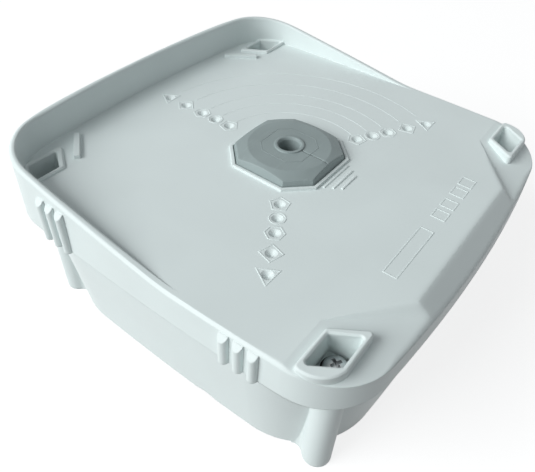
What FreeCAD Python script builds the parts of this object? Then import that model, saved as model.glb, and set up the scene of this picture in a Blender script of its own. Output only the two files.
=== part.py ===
import FreeCAD, Part
import math
import os

# A surface-mounted junction box for a security camera, lying on its back
# Millimetres. The origin is the centre of the back, +Z runs out through the lid
# and +Y is the upper side once the box hangs on a wall.

# Lid outline, taken at the foot of its skirt: a square with four bowed sides
lid_width = 120.0
lid_height = 120.0
side_bow_radius = 900.0
end_bow_radius = 420.0
lid_corner_radius = 18.0
lid_draft_deg = 1.4

# Lid section
plate_level = 47.5
plate_thickness = 2.4
skirt_depth = 10.2
skirt_thickness = 2.0
lip_thickness = 1.5
lip_reach = 3.0
lid_edge_chamfer = 0.7

# Rain hood that rises along the upper side and dies out along both flanks
hood_thickness = 2.3
hood_run = 67.5
hood_slope = 0.150
hood_start_radius = 60.0
hood_edge_chamfer = 0.35
hood_inner_draft_deg = 2.0

# Front bevel and the two sloping corner shelves, measured back from the lower side
bevel_run = 5.5
bevel_slope = 0.83
shelf_run = 19.6
shelf_slope = 0.166
shelf_facet_slope = 1.1

# The crease of a shelf runs between two points at these distances from the flank
shelf_crease_outer = 16.0
shelf_crease_inner = 34.0

# Screw wells in the four corners
screw_edge_x = 12.3
screw_edge_y = 12.6
well_rise = 0.9
well_depth = 8.5
well_floor_thickness = 2.0
well_corner_radius = 1.0
well_mouth_radius = 0.7
well_rim_chamfer = 0.4
well_pot_half = 4.9
well_hood_gap = 0.4

# Plan of a well, of its mouth and of its floor, from the screw axis towards the corner of the
# lid: inner corner, tip, end, middle of the outer side, outer corner
well_plan = ((-2.3, -4.8), (-8.2, 4.1), (3.7, 4.3), (8.5, 1.5), (9.9, -4.8))
well_mouth_plan = ((-1.2, -3.7), (-5.4, 3.0), (3.8, 3.1), (6.1, -0.3), (8.3, -3.6))
well_floor_plan = ((-3.6, -3.8), (-4.1, 3.7), (2.2, 3.8), (3.9, 2.5), (4.5, -3.8))

# Grip ribs on both flanks, their tops measured from the plate and sloping over a crown
rib_pitch = 3.9
rib_group_y = 30.2
rib_radius = 1.3
rib_proud = 1.3
rib_count = 3
rib_crown = 1.5
rib_top_front = -0.9
rib_top_rear = 2.7

# Drain ribs beside the two upper wells, from the screw axis
drain_rib_start = (-7.2, -3.7)
drain_rib_end = (-14.5, 5.3)
drain_rib_width = 1.7
drain_rib_rise = 1.1

# Camera fixing dimples: three arms of pointed spots on five pitch circles
dimple_pitch_circles = (45.0, 56.0, 67.0, 81.0, 95.0)
dimple_first_angle = 90.0
dimple_arms = 3
dimple_radius = 1.6
dimple_depth = 1.2
dimple_sides = 20

# Cable grommet
grommet_half = 14.2
grommet_corner = 8.0
grommet_rise = 3.2
grommet_side_draft_deg = 18.0
grommet_flat_radius = 12.0
grommet_cone_slope = 0.33
grommet_neck_inset = 2.2
grommet_flange_inset = 0.9
grommet_flange_thickness = 1.6
cable_bore_radius = 3.1
cable_mouth_radius = 3.5
cable_mouth_depth = 0.7
cable_ring_radius = 4.3
cable_ring_rise = 0.35
slit_width = 0.35
slit_depth = 0.5
collar_gap = 0.15
collar_width = 0.9
collar_rise = 0.7

# Back box: a drafted tub with a screw pillar standing out of each corner
tub_lean = 4.5
tub_corner_radius = 28.0
tub_wall = 2.2
tub_floor = 2.5
tub_rim_drop = 6.5
tub_rim_depth = 5.0
tub_edge_chamfer = 0.9
pillar_radius = 4.0
pillar_root_radius = 3.0
pillar_gap = 0.2
notch_y = -13.6
notch_radius = 8.0
notch_depth = 1.8

# Wall fixing slots and the cable knock-out in the back
wall_slot_pitch_x = 70.0
wall_slot_pitch_y = 70.0
wall_slot_radius = 2.5
wall_slot_length = 9.0
knockout_radius = 11.0
knockout_groove = 0.8
knockout_web = 0.8

# Lid seal
seal_thickness = 1.5
seal_side_gap = 0.15
seal_rest_gap = 0.1

# Lid screws with their sealing washers
screw_head_radius = 2.85
screw_head_height = 2.1
screw_head_edge = 0.95
screw_crown_radius = 1.9
screw_shank_radius = 1.45
screw_length = 19.0
screw_hole_radius = 1.8
pilot_radius = 1.5
pilot_extra_depth = 2.0
recess_arm_length = 1.6
recess_arm_width = 0.62
recess_depth = 1.2
recess_turn_deg = 25.0
washer_radius = 3.35
washer_bore_radius = 1.6
washer_thickness = 0.9

# Fits
skirt_clearance = 0.2
lip_clearance = 0.3
pot_clearance = 0.3

# How far cutting shapes reach past what they cut, and how far joined shapes sink in
tool_reach = 40.0
overrun = 1.0

# How near an edge lies to a level for it to be picked, and the rounds in which arcs settle
level_tolerance = 0.01
slope_tolerance = 0.05
arc_rounds = 30

# Levels and places that follow from the sizes above
skirt_foot = plate_level - skirt_depth
plate_underside = plate_level - plate_thickness
hood_start = lid_height / 2 - hood_run
bevel_start = bevel_run - lid_height / 2
shelf_start = shelf_run - lid_height / 2
tub_rim_level = plate_level - tub_rim_drop
tub_shoulder = tub_rim_level - tub_rim_depth
channel_roof = tub_rim_level + seal_thickness
lip_foot = tub_rim_level - lip_reach
tub_inset = skirt_thickness + skirt_clearance
lip_inset = tub_wall + lip_clearance
well_floor_level = plate_level - well_depth
well_underside = well_floor_level - well_floor_thickness
pillar_top = well_underside - pillar_gap
screw_seat = well_floor_level + washer_thickness

# Outlines are kept as half width, half height, flank bow, end bow and corner radius
lid_outline = (lid_width / 2, lid_height / 2, side_bow_radius, end_bow_radius, lid_corner_radius)
rim_outline = (
    lid_width / 2 - tub_inset,
    lid_height / 2 - tub_inset,
    side_bow_radius,
    end_bow_radius,
    tub_corner_radius,
)


def at(x, y, z=0.0):
    return FreeCAD.Vector(x, y, z)


def inset(outline, distance):
    return tuple(size - distance for size in outline)


def on_circle(cx, cy, radius, angle, z):
    return at(cx + radius * math.cos(angle), cy + radius * math.sin(angle), z)


def bowed_arcs(outline):
    # Four bowed sides and four corner arcs, each tangent to the next, as centre, radius and angles
    half_x, half_y, bow_x, bow_y, corner = outline
    flank_centre = half_x - bow_x
    end_centre = half_y - bow_y
    cx = half_x - corner
    cy = half_y - corner
    for _ in range(arc_rounds):
        cx = flank_centre + math.sqrt((bow_x - corner) ** 2 - cy ** 2)
        cy = end_centre + math.sqrt((bow_y - corner) ** 2 - cx ** 2)
    low = math.atan2(cy, cx - flank_centre)
    high = math.atan2(cy - end_centre, cx)
    return [
        (flank_centre, 0, bow_x, -low, low),
        (cx, cy, corner, low, high),
        (0, end_centre, bow_y, high, math.pi - high),
        (-cx, cy, corner, math.pi - high, math.pi - low),
        (-flank_centre, 0, bow_x, math.pi - low, math.pi + low),
        (-cx, -cy, corner, math.pi + low, math.pi + high),
        (0, -end_centre, bow_y, math.pi + high, 2 * math.pi - high),
        (cx, -cy, corner, -high, -low),
    ]


def bowed_wire(outline, z):
    edges = []
    for cx, cy, radius, start, end in bowed_arcs(outline):
        points = [on_circle(cx, cy, radius, angle, z) for angle in (start, (start + end) / 2, end)]
        edges.append(Part.Arc(*points).toShape())
    return Part.Wire(edges)


def drafted_block(low_section, high_section):
    # A solid between two offsets of one outline, with a conical face over each of its arcs
    low_outline, low_z = low_section
    high_outline, high_z = high_section
    faces = [Part.Face(bowed_wire(outline, z)) for outline, z in (low_section, high_section)]
    for low_arc, high_arc in zip(bowed_arcs(low_outline), bowed_arcs(high_outline)):
        cx, cy, radius, start, end = low_arc
        foot = on_circle(cx, cy, radius, start, low_z)
        head = on_circle(cx, cy, high_arc[2], start, high_z)
        turn = math.degrees(end - start)
        faces.append(Part.makeLine(foot, head).revolve(at(cx, cy), at(0, 0, 1), turn))
    shell = Part.makeShell(faces)
    shell.sewShape()
    solid = Part.makeSolid(shell)
    if solid.Volume < 0:
        solid.reverse()
    return solid


def lid_section(distance, z):
    # The lid outline moved inwards by a wall, with its draft at that level
    draft = (z - skirt_foot) * math.tan(math.radians(lid_draft_deg))
    return (inset(lid_outline, distance + draft), z)


def lid_block(distance, z_low, z_high):
    return drafted_block(lid_section(distance, z_low), lid_section(distance, z_high))


def corner_rooms(distance, z_low, z_high):
    # The four corners that the sealed rim goes round, so that the screws stand outside it
    reach = well_pot_half + pot_clearance + distance
    rooms = []
    for sx, sy in corner_signs():
        cx, cy = screw_centre(sx, sy)
        inner = (cx - sx * reach, cy - sy * reach)
        outer = (sx * lid_width, sy * lid_height)
        plan = [inner, (outer[0], inner[1]), outer, (inner[0], outer[1])]
        rooms.append(flat_prism(plan, z_low, z_high))
    return Part.makeCompound(rooms)


def rim_block(distance, z_low, z_high):
    # What lies inside the rim of the box, moved inwards by a wall
    outline = inset(rim_outline, distance)
    block = drafted_block((outline, z_low), (outline, z_high))
    return block.cut(corner_rooms(distance, z_low - overrun, z_high + overrun))


def polygon_prism(points, direction):
    corners = [at(*point) for point in points]
    face = Part.Face(Part.makePolygon(corners + corners[:1]))
    return face.extrude(direction)


def flat_prism(points, z_low, z_high):
    return polygon_prism([(x, y, z_low) for x, y in points], at(0, 0, z_high - z_low))


def cylinder(radius, height, x, y, z):
    return Part.makeCylinder(radius, height, at(x, y, z))


def corner_signs():
    return [(sx, sy) for sy in (-1, 1) for sx in (-1, 1)]


def chamfered(shape, size, wanted):
    return shape.makeChamfer(size, [edge for edge in shape.Edges if wanted(edge)])


def fused(shapes):
    return shapes[0].multiFuse(shapes[1:]).removeSplitter()


def hood_level(y):
    return plate_level + hood_slope * (y - hood_start)


def screw_centre(sx, sy):
    return sx * (lid_width / 2 - screw_edge_x), sy * (lid_height / 2 - screw_edge_y)


# Lid


def over_hood():
    # Everything above the flat plate, the curved start of the hood and its sloping top
    far = lid_height
    x = -lid_width
    rise = math.atan(hood_slope)
    run = hood_start_radius * math.tan(rise / 2)
    first = at(x, hood_start - run, plate_level)
    last = at(x, hood_start + run * math.cos(rise), plate_level + run * math.sin(rise))
    sag = hood_start_radius * (1 - math.cos(rise / 2))
    middle = at(x, first.y + hood_start_radius * math.sin(rise / 2), plate_level + sag)
    ceiling = hood_level(far) + tool_reach
    outline = Part.makePolygon([
        last,
        at(x, far, hood_level(far)),
        at(x, far, ceiling),
        at(x, -far, ceiling),
        at(x, -far, plate_level),
        first,
    ])
    start = Part.Arc(first, middle, last).toShape()
    return Part.Face(Part.Wire(outline.Edges + [start])).extrude(at(2 * lid_width, 0, 0))


def hood_hollow():
    top = hood_level(lid_height / 2) + tool_reach
    flare = (top - plate_level) * math.tan(math.radians(hood_inner_draft_deg))
    low = lid_section(hood_thickness, plate_level)
    return drafted_block(low, (inset(low[0], -flare), top))


def bevel_cut():
    # The front of the plate falls away to the skirt
    far = lid_height
    profile = [
        (-lid_width, bevel_start, plate_level),
        (-lid_width, bevel_start, plate_level + tool_reach),
        (-lid_width, -far, plate_level + tool_reach),
        (-lid_width, -far, plate_level - bevel_slope * (far + bevel_start)),
    ]
    return polygon_prism(profile, at(2 * lid_width, 0, 0))


def shelf_cut(sx):
    # The region above the sloping shelf and outside the steep facet of one front corner
    far = lid_height
    over_shelf = polygon_prism(
        [
            (-lid_width, shelf_start, plate_level),
            (-lid_width, shelf_start, plate_level + tool_reach),
            (-lid_width, -far, plate_level + tool_reach),
            (-lid_width, -far, plate_level - shelf_slope * (far + shelf_start)),
        ],
        at(2 * lid_width, 0, 0),
    )
    outer = at(sx * (lid_width / 2 - shelf_crease_outer), shelf_start, plate_level)
    inner = at(sx * (lid_width / 2 - shelf_crease_inner), bevel_start, plate_level)
    along = (inner - outer).normalize()
    away = at(sx * abs(along.y), -abs(along.x), 0)
    start = outer - along * lid_width
    drop = at(0, 0, -shelf_facet_slope * tool_reach)
    section = [
        start,
        start + at(0, 0, tool_reach),
        start + away * tool_reach + at(0, 0, tool_reach),
        start + away * tool_reach + drop,
    ]
    beyond_facet = polygon_prism([tuple(point) for point in section], along * (2 * lid_width))
    return over_shelf.common(beyond_facet)


def front_cuts(drop):
    # What is cut from the front of the plate, or from a level below its surface
    tools = [bevel_cut(), shelf_cut(-1), shelf_cut(1)]
    for tool in tools:
        tool.translate(at(0, 0, -drop))
    return tools


def well_wire(plan, sx, sy, corner_radius, z):
    # The plan of a well with its corners rounded
    cx, cy = screw_centre(1, 1)
    inner, tip, end, bulge, side = [at(sx * (cx + x), sy * (cy + y), z) for x, y in plan]
    edges = [
        Part.makeLine(inner, tip),
        Part.makeLine(tip, end),
        Part.Arc(end, bulge, side).toShape(),
        Part.makeLine(side, inner),
    ]
    return Part.Wire(edges).makeOffset2D(-corner_radius, 0).makeOffset2D(corner_radius, 0)


def well_wall_block(sx, sy):
    # The standing wall round a well, down into the rim of the lid
    top = plate_level + well_rise
    outline = well_wire(well_plan, sx, sy, well_corner_radius, channel_roof)
    block = Part.Face(outline).extrude(at(0, 0, top - channel_roof))
    mouth = well_wire(well_mouth_plan, sx, sy, well_mouth_radius, plate_level)
    block = block.cut(Part.Face(mouth).extrude(at(0, 0, well_rise + overrun)))
    return chamfered(block, well_rim_chamfer, lambda edge: edge.BoundBox.ZMin > top - level_tolerance)


def well_pot(sx, sy):
    # The closed pot under the plate that carries the screw head
    cx, cy = screw_centre(sx, sy)
    inner = (cx - sx * well_pot_half, cy - sy * well_pot_half)
    outer = (sx * lid_width, sy * lid_height)
    plan = [inner, (outer[0], inner[1]), outer, (inner[0], outer[1])]
    pot = flat_prism(plan, well_underside, plate_level - plate_thickness / 2)
    mouth = well_wire(well_plan, sx, sy, well_corner_radius, channel_roof)
    pot = pot.fuse(Part.Face(mouth).extrude(at(0, 0, plate_level - channel_roof)))
    pot = pot.common(lid_block(skirt_thickness / 2, well_underside - overrun, plate_level))
    for tool in front_cuts(plate_thickness / 2):
        pot = pot.cut(tool)
    return pot


def well_hollow(sx, sy):
    # The funnel of a well, from its mouth down to the seat of the screw
    floor = well_wire(well_floor_plan, sx, sy, well_mouth_radius, well_floor_level)
    mouth = well_wire(well_mouth_plan, sx, sy, well_mouth_radius, plate_level)
    funnel = Part.makeLoft([floor, mouth], True, True)
    if sy > 0:
        inside_hood = hood_thickness + well_hood_gap
        funnel = funnel.common(lid_block(inside_hood, well_floor_level - overrun, plate_level + overrun))
    hole_length = well_floor_thickness + 2 * overrun
    hole = cylinder(screw_hole_radius, hole_length, *screw_centre(sx, sy), well_underside - overrun)
    return funnel.fuse(hole)


def drain_rib(sx):
    # A short raised rib beside each upper well, along its slanted side
    cx, cy = screw_centre(1, 1)
    start = at(cx + drain_rib_start[0], cy + drain_rib_start[1])
    end = at(cx + drain_rib_end[0], cy + drain_rib_end[1])
    side = (end - start).normalize()
    across = at(-side.y, side.x) * (drain_rib_width / 2)
    plan = [start + across, end + across, end - across, start - across]
    low = plate_level - plate_thickness / 2
    return flat_prism([(sx * p.x, p.y) for p in plan], low, plate_level + drain_rib_rise)


def grip_rib(x, y, top):
    # A half-round rib whose top slopes back into the skirt
    side = math.copysign(1, x)
    post = cylinder(rib_radius, top - skirt_foot, x, y, skirt_foot)
    outer = x + side * rib_radius
    slope = [(outer, y - rib_radius, top - rib_crown), (x, y - rib_radius, top), (outer, y - rib_radius, top)]
    return post.cut(polygon_prism(slope, at(0, 2 * rib_radius, 0)))


def grip_ribs():
    # Ribs in threes on both flanks
    ribs = []
    for sx in (-1, 1):
        for sy, rise in ((-1, rib_top_front), (1, rib_top_rear)):
            for step in range(rib_count):
                y = sy * (rib_group_y + (step - (rib_count - 1) / 2) * rib_pitch)
                bow = side_bow_radius - math.sqrt(side_bow_radius ** 2 - y ** 2)
                x = sx * (lid_width / 2 - bow + rib_proud - rib_radius)
                ribs.append(grip_rib(x, y, plate_level + rise))
    return ribs


def octagon(half, corner, z):
    points = []
    for x, y in ((half, corner), (corner, half), (-corner, half), (-half, corner)):
        points.append(at(x, y, z))
    for x, y in ((-half, -corner), (-corner, -half), (corner, -half), (half, -corner)):
        points.append(at(x, y, z))
    return Part.makePolygon(points + points[:1])


def octagon_prism(half, corner, z_low, z_high):
    return Part.Face(octagon(half, corner, z_low)).extrude(at(0, 0, z_high - z_low))


def octagon_inset(distance):
    # The slanted sides move in by the same distance as the main ones
    half = grommet_half - distance
    corner = grommet_corner - distance * (math.sqrt(2) - 1)
    return half, corner


def dimple(x, y):
    # A pointed pit with many flat sides, which costs far fewer facets than a cone
    step = 2 * math.pi / dimple_sides
    rim = [on_circle(x, y, dimple_radius, side * step, plate_level) for side in range(dimple_sides)]
    tip = at(x, y, plate_level - dimple_depth)
    faces = [Part.Face(Part.makePolygon(rim + rim[:1]))]
    for first, second in zip(rim, rim[1:] + rim[:1]):
        faces.append(Part.Face(Part.makePolygon([first, second, tip, first])))
    return Part.makeSolid(Part.makeShell(faces))


def dimples():
    spots = []
    for arm in range(dimple_arms):
        angle = math.radians(dimple_first_angle + arm * 360.0 / dimple_arms)
        for pitch_circle in dimple_pitch_circles:
            centre = on_circle(0, 0, pitch_circle / 2, angle, plate_level)
            spots.append(dimple(centre.x, centre.y))
    return spots


def lid_shell():
    # Skirt, plate and hood before the corners and the small features
    shell = lid_block(0.0, skirt_foot, hood_level(lid_height / 2) + overrun)
    shell = chamfered(shell.cut(over_hood()), lid_edge_chamfer, is_top_edge)
    for tool in front_cuts(0.0):
        shell = shell.cut(tool)
    shell = shell.removeSplitter().cut(hood_hollow())
    return chamfered(shell, hood_edge_chamfer, is_hood_inner_edge)


def edge_middle(edge):
    return edge.valueAt((edge.FirstParameter + edge.LastParameter) / 2)


def is_upright(edge):
    first = edge.valueAt(edge.FirstParameter)
    last = edge.valueAt(edge.LastParameter)
    return abs(first.z - last.z) > math.hypot(first.x - last.x, first.y - last.y)


def is_top_edge(edge):
    # The loop that runs round the top of the skirt and the hood
    return edge_middle(edge).z > channel_roof and not is_upright(edge)


def is_hood_inner_edge(edge):
    # The inner top edge of the hood where it has its full thickness
    middle = edge_middle(edge)
    on_slope = abs(middle.z - hood_level(middle.y)) < slope_tolerance
    return on_slope and middle.y > hood_start and type(edge.Curve) is Part.Ellipse


def lid_underside_cuts():
    # The seal channel, and the shallow hollow that leaves an even plate
    skirt_room = lid_block(skirt_thickness, skirt_foot - overrun, channel_roof)
    plate_room = rim_block(lip_inset + lip_thickness, channel_roof - overrun, plate_underside)
    for tool in front_cuts(plate_thickness):
        plate_room = plate_room.cut(tool)
    return skirt_room, plate_room


def lid_lip():
    # The rim that reaches down inside the wall of the box
    outer = rim_block(lip_inset, lip_foot, channel_roof + overrun / 2)
    return outer.cut(rim_block(lip_inset + lip_thickness, lip_foot - overrun, channel_roof + overrun))


def make_lid():
    lid = lid_shell()
    for room in lid_underside_cuts():
        lid = lid.cut(room)
    collar_foot = plate_level - plate_thickness / 2
    collar_top = plate_level + collar_rise
    collar = octagon_prism(*octagon_inset(-collar_gap - collar_width), collar_foot, collar_top)
    walls = [well_wall_block(sx, sy) for sx, sy in corner_signs()]
    pots = [well_pot(sx, sy) for sx, sy in corner_signs()]
    drain_ribs = [drain_rib(sx) for sx in (-1, 1)]
    for group in ([lid_lip()], [collar], walls, pots, drain_ribs, grip_ribs()):
        lid = lid.fuse(Part.makeCompound(group))
    lid = lid.removeSplitter()
    seat = octagon_prism(*octagon_inset(-collar_gap), plate_level, collar_top + overrun)
    neck_low, neck_high = plate_underside - overrun, plate_level + overrun
    neck = octagon_prism(*octagon_inset(grommet_neck_inset), neck_low, neck_high)
    hollows = [well_hollow(sx, sy) for sx, sy in corner_signs()]
    for group in ([seat], [neck], hollows, dimples()):
        lid = lid.cut(Part.makeCompound(group))
    return lid.removeSplitter()


# Grommet, seal and screws


def grommet_dome(top):
    # Flat in the middle and falling away to the rim
    reach = grommet_half + grommet_corner
    foot = plate_level - overrun
    outline = [
        (0, foot),
        (reach, foot),
        (reach, top - grommet_cone_slope * (reach - grommet_flat_radius)),
        (grommet_flat_radius, top),
        (0, top),
        (0, foot),
    ]
    profile = Part.Face(Part.makePolygon([at(radius, 0, level) for radius, level in outline]))
    return profile.revolve(at(0, 0, 0), at(0, 0, 1), 360)


def make_grommet():
    top = plate_level + grommet_rise
    draft = grommet_rise * math.tan(math.radians(grommet_side_draft_deg))
    low = octagon(grommet_half, grommet_corner, plate_level)
    high = octagon(*octagon_inset(draft), top)
    head = Part.makeLoft([low, high], True, True).common(grommet_dome(top))
    sink = overrun / 2
    neck_low, neck_high = plate_underside - sink, plate_level + sink
    neck = octagon_prism(*octagon_inset(grommet_neck_inset), neck_low, neck_high)
    flange_low = plate_underside - grommet_flange_thickness
    flange = octagon_prism(*octagon_inset(grommet_flange_inset), flange_low, plate_underside)
    ring = cylinder(cable_ring_radius, cable_ring_rise + sink, 0, 0, top - sink)
    body = fused([head, neck, flange, ring])
    ring_top = top + cable_ring_rise
    bore = cylinder(cable_bore_radius, ring_top - flange_low + 2 * overrun, 0, 0, flange_low - overrun)
    mouth_foot = at(0, 0, ring_top - cable_mouth_depth)
    mouth = Part.makeCone(cable_bore_radius, cable_mouth_radius, cable_mouth_depth, mouth_foot)
    slit_start = at(-slit_width / 2, -2 * grommet_half, top - slit_depth)
    slit = Part.makeBox(slit_width, 2 * grommet_half, slit_depth, slit_start)
    ring_core = cylinder(cable_ring_radius, 2 * overrun, 0, 0, top - overrun)
    return body.cut(bore).cut(mouth).cut(slit.cut(ring_core))


def make_seal():
    # The seal lies on the rim of the box, in the channel beside the lip
    low = tub_rim_level + seal_rest_gap
    ring = rim_block(seal_side_gap, low, channel_roof)
    return ring.cut(rim_block(lip_inset - seal_side_gap, low - overrun, channel_roof + overrun))


def make_screw(sx, sy):
    # A pan head with a bevelled crown and a cross recess on a plain shank
    top = screw_seat + screw_head_height
    tip = screw_seat - screw_length
    outline = [
        (0, top),
        (0, tip),
        (screw_shank_radius, tip),
        (screw_shank_radius, screw_seat),
        (screw_head_radius, screw_seat),
        (screw_head_radius, screw_seat + screw_head_edge),
        (screw_crown_radius, top),
        (0, top),
    ]
    profile = Part.Face(Part.makePolygon([at(radius, 0, level) for radius, level in outline]))
    screw = profile.revolve(at(0, 0, 0), at(0, 0, 1), 360)
    for turn in (0, 90):
        arm = Part.makeBox(2 * recess_arm_length, recess_arm_width, recess_depth)
        arm.translate(at(-recess_arm_length, -recess_arm_width / 2, top - recess_depth))
        arm.rotate(at(0, 0, 0), at(0, 0, 1), turn + recess_turn_deg * sx)
        screw = screw.cut(arm)
    screw.translate(at(*screw_centre(sx, sy)))
    return screw


def make_washer(sx, sy):
    cx, cy = screw_centre(sx, sy)
    disc = cylinder(washer_radius, washer_thickness, cx, cy, well_floor_level)
    return disc.cut(cylinder(washer_bore_radius, washer_thickness, cx, cy, well_floor_level))


# Back box


def tub_section(distance, level):
    # The wall leans inwards from the shoulder under the lid down to the foot
    lean = tub_lean * max(0.0, 1 - level / tub_shoulder)
    return (inset(rim_outline, lean + distance), level)


def tub_block(distance, low, high):
    leaning = drafted_block(tub_section(distance, low), tub_section(distance, tub_shoulder))
    upright = drafted_block(tub_section(distance, tub_shoulder), tub_section(distance, high))
    return leaning.fuse(upright)


def pillar(sx, sy):
    # A round pillar with hollow roots that run out into the corner of the tub
    corner_x, corner_y, wall_radius = bowed_arcs(tub_section(0.0, 0.0)[0])[1][:3]
    corner = at(sx * corner_x, sy * corner_y)
    axis = at(*screw_centre(sx, sy))
    out = axis - corner
    span = out.Length
    out.normalize()
    across = at(-out.y, out.x)
    root = pillar_root_radius
    reach = (wall_radius - pillar_radius) * (wall_radius + pillar_radius + 2 * root)
    root_out = (reach - span ** 2) / (2 * span)
    root_across = math.sqrt((pillar_radius + root) ** 2 - root_out ** 2)
    edges = []
    ends = []
    for side in (-1, 1):
        centre = axis + out * root_out + across * (side * root_across)
        on_pillar = axis + (centre - axis).normalize() * pillar_radius
        on_wall = corner + (centre - corner).normalize() * wall_radius
        middle = centre + ((on_pillar + on_wall) * 0.5 - centre).normalize() * root
        edges.append(Part.Arc(on_wall, middle, on_pillar).toShape())
        ends.append((on_wall, on_pillar))
    (wall_low, pillar_low), (wall_high, pillar_high) = ends
    edges.append(Part.Arc(pillar_low, axis + out * pillar_radius, pillar_high).toShape())
    behind = corner + out * (wall_radius - pillar_radius - root)
    edges.append(Part.makeLine(wall_low, behind))
    edges.append(Part.makeLine(behind, wall_high))
    section = Part.Face(Part.Wire(Part.__sortEdges__(edges)))
    return section.extrude(at(0, 0, pillar_top))


def wall_slot(sx, sy):
    half = wall_slot_length / 2 - wall_slot_radius
    x = sx * wall_slot_pitch_x / 2
    y = sy * wall_slot_pitch_y / 2
    depth = tub_floor + 2 * overrun
    block = Part.makeBox(2 * half, 2 * wall_slot_radius, depth, at(x - half, y - wall_slot_radius, -overrun))
    ends = [cylinder(wall_slot_radius, depth, x + side * half, y, -overrun) for side in (-1, 1)]
    return fused([block] + ends)


def screw_pilot(sx, sy):
    depth = screw_length - washer_thickness + pilot_extra_depth
    bottom = well_floor_level - depth
    return cylinder(pilot_radius, pillar_top - bottom + overrun, *screw_centre(sx, sy), bottom)


def knockout_ring():
    # A groove from the back that leaves a thin web to break out
    disc = cylinder(knockout_radius, tub_floor - knockout_web, 0, 0, 0)
    return disc.cut(cylinder(knockout_radius - knockout_groove, tub_floor, 0, 0, 0))


def edge_notch():
    # A shallow scoop in the foot of the left wall
    face = at(-lid_width / 2, notch_y, notch_depth - notch_radius)
    return Part.makeCylinder(notch_radius, 2 * tub_lean + tub_wall, face, at(1, 0, 0))


def make_back_box():
    shell = tub_block(0.0, 0.0, tub_rim_level)
    shell = chamfered(shell, tub_edge_chamfer, lambda edge: edge.BoundBox.ZMax < level_tolerance)
    shell = shell.cut(corner_rooms(0.0, pillar_top, tub_rim_level + overrun))
    hollow = tub_block(tub_wall, tub_floor, tub_rim_level + overrun)
    hollow = hollow.cut(corner_rooms(tub_wall, 0.0, tub_rim_level + 2 * overrun))
    pillars = [pillar(sx, sy) for sx, sy in corner_signs()]
    cuts = [knockout_ring(), edge_notch()]
    for sx, sy in corner_signs():
        cuts += [wall_slot(sx, sy), screw_pilot(sx, sy)]
    box = shell.cut(hollow).fuse(Part.makeCompound(pillars)).removeSplitter()
    return box.cut(Part.makeCompound(cuts))


def main():
    os.makedirs("parts", exist_ok=True)
    nodes = {
        "back_box": make_back_box(),
        "lid": make_lid(),
        "cable_grommet": make_grommet(),
        "lid_seal": make_seal(),
    }
    names = {
        (-1, -1): "lower_left",
        (1, -1): "lower_right",
        (-1, 1): "upper_left",
        (1, 1): "upper_right",
    }
    for corner, name in names.items():
        nodes["lid_screw_" + name] = make_screw(*corner)
        nodes["screw_washer_" + name] = make_washer(*corner)
    for name, shape in nodes.items():
        box = shape.BoundBox
        corners = (box.XMin, box.XMax, box.YMin, box.YMax, box.ZMin, box.ZMax)
        extent = tuple(round(value, 2) for value in corners)
        volume = round(shape.Volume, 1)
        print(name, "solids", len(shape.Solids), "valid", shape.isValid(), "volume", volume, extent)
        shape.exportStep("parts/" + name + ".step")


if __name__ == "__main__":
    main()
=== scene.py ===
import math

import bmesh
import bpy
from bpy.props import FloatProperty, FloatVectorProperty, IntProperty, PointerProperty
from mathutils import Matrix, Vector


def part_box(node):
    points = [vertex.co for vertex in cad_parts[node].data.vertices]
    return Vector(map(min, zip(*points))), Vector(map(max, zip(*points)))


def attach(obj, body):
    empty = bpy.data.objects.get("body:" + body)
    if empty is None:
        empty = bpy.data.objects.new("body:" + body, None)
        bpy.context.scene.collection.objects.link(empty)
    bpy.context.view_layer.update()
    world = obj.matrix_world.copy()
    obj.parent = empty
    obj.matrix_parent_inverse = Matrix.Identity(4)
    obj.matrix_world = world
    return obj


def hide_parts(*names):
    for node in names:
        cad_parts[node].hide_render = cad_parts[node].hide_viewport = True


bl_info = {
    "name": "Camera Junction Box",
    "version": (1, 0, 0),
    "blender": (4, 5, 0),
    "location": "View3D > Sidebar > Junction Box",
    "description": "Dresses a surface-mounted junction box for a security camera and sets it on a pale floor",
    "category": "Object",
}

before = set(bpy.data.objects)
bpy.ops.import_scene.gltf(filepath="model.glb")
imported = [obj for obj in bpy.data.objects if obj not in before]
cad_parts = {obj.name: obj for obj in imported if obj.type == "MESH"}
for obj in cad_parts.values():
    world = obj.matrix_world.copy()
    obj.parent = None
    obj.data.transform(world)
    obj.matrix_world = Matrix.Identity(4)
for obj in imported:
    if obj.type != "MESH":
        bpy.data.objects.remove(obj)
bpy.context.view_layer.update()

MM = 0.001

# Lengths and places on the part are in millimetres, from the middle of the box's back

# The four corners, and the side of the box that each is on: -1 is the left, 1 the right
CORNER_SIDES = {"lower_left": -1, "lower_right": 1, "upper_left": -1, "upper_right": 1}

# The flat of the lid, and how far the top of the grommet stands over it
PLATE_LEVEL = 47.5
GROMMET_RISE = 3.2

# How far the screw wells lie from the middle along X and Y
WELL_AXIS = (47.7, 47.4)

# Raised outlines round the five dimples of an arm, from the innermost outwards:
# distance from the middle, radius of the outline, its sides, and its turn from the arm
DIMPLE_OUTLINES = (
    (22.5, 2.9, 5, 180.0),
    (28.0, 2.15, 32, 0.0),
    (33.5, 2.65, 6, 30.0),
    (40.5, 3.05, 4, 0.0),
    (47.5, 3.5, 3, 0.0),
)
DIMPLE_ARMS = (90.0, 210.0, 330.0)

# Pitch circle arcs: their radii, the steps along each, and their section, whose shoulder is a
# share of the height and whose crown is a share of the width
ARC_RADII = (22.4, 27.9, 33.5, 40.4, 47.5)
ARC_STEPS = 40
ARC_SHOULDER = 0.3
ARC_CROWN = 0.45

# Rectangular frames as their middle and size, bars as half their length and their place along Y
PLATE_FRAMES = (
    (-13.25, -45.65, 20.1, 3.9),
    (4.1, -45.85, 3.9, 4.1),
    (9.6, -45.85, 3.9, 4.1),
    (15.9, -45.85, 4.0, 4.1),
    (21.4, -45.85, 4.2, 4.1),
)
PLATE_BARS = ((6.4, -16.3), (5.1, -18.5), (3.7, -20.5))

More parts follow.
